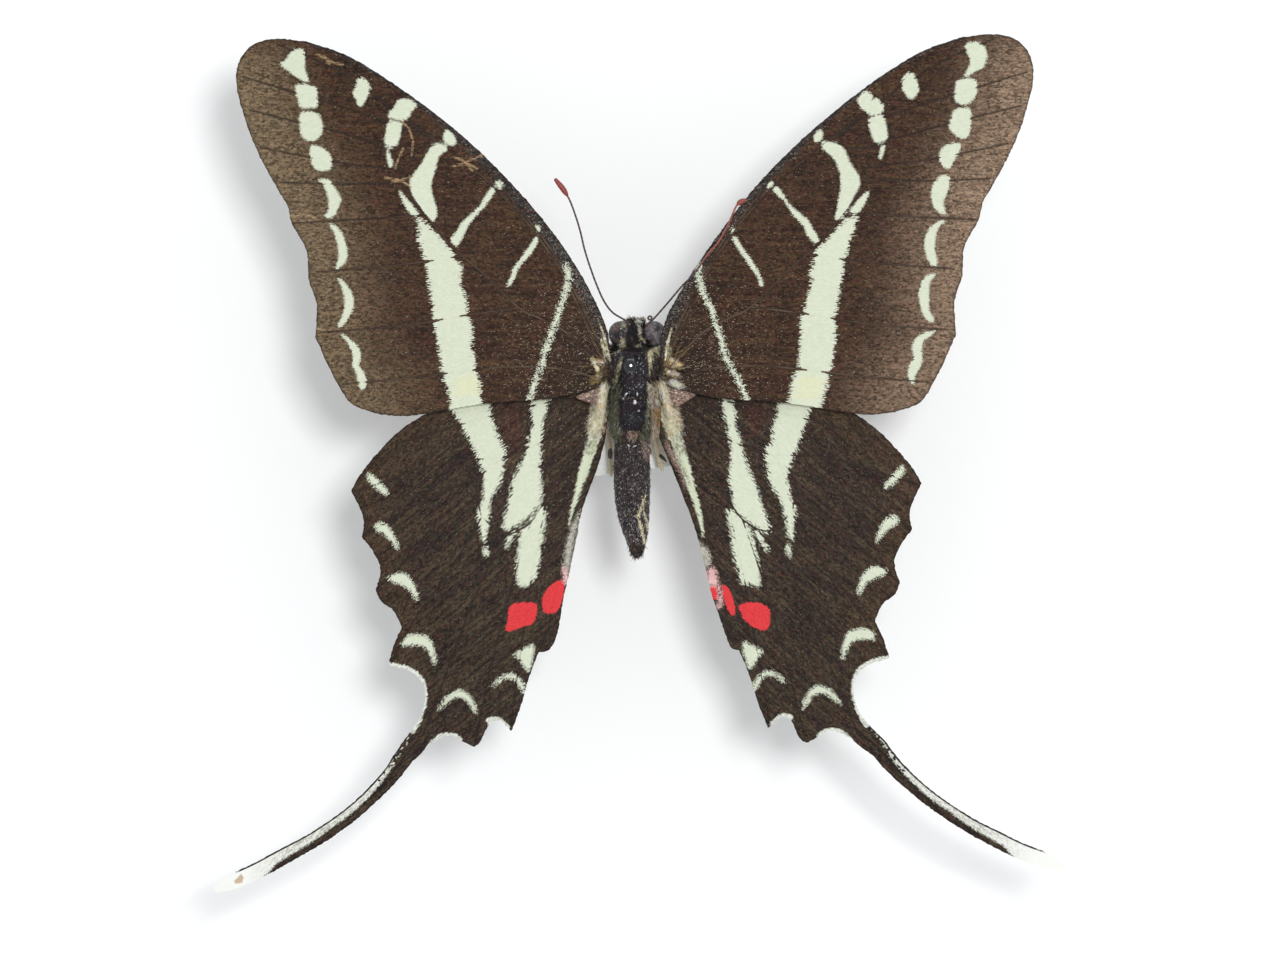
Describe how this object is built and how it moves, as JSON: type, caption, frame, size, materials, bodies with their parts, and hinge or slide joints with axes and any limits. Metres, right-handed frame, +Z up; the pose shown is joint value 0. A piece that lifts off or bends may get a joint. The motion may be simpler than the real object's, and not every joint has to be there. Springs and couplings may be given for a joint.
{
  "type": "pinned butterfly specimen",
  "caption": "Dark kite-swallowtail butterfly with pale wing bands and long hind tails, spread and pinned through the thorax above a blank card and a small white block.",
  "frame": {"origin": "on the underside of the white block, straight below the middle of the body, level with the wing roots; the block's underside is the floor", "axes": "+Y towards the head, +X to the butterfly's right, +Z up out of its back"},
  "size_m": [0.0817, 0.0819, 0.0358],
  "materials": {
    "wing": "matt dark brown-black scales with pale greenish-white bands and red spots",
    "body": "black hair and scales, yellow stripes",
    "eye": "dark purple-brown, glossy",
    "antenna": "dark shaft with an orange-red club",
    "leg": "brown scales",
    "pin": "black enamel, glossy",
    "card": "blank white card",
    "block": "white closed-cell foam"
  },
  "bodies": {
    "root": {"thorax": "body", "head": "body", "abdomen": "body", "eye_left": "eye", "eye_right": "eye", "palp_left": "body", "palp_right": "body", "tongue": "leg", "antenna_left": "antenna", "antenna_right": "antenna", "forewing_left": "wing", "forewing_right": "wing", "hindwing_left": "wing", "hindwing_right": "wing", "tail_left": "wing", "tail_right": "wing", "leg_front_left": "leg", "leg_front_right": "leg", "leg_middle_left": "leg", "leg_middle_right": "leg", "leg_hind_left": "leg", "leg_hind_right": "leg", "stand_pin": "pin", "stand_card": "card", "stand_block": "block"}
  },
  "joints": []
}
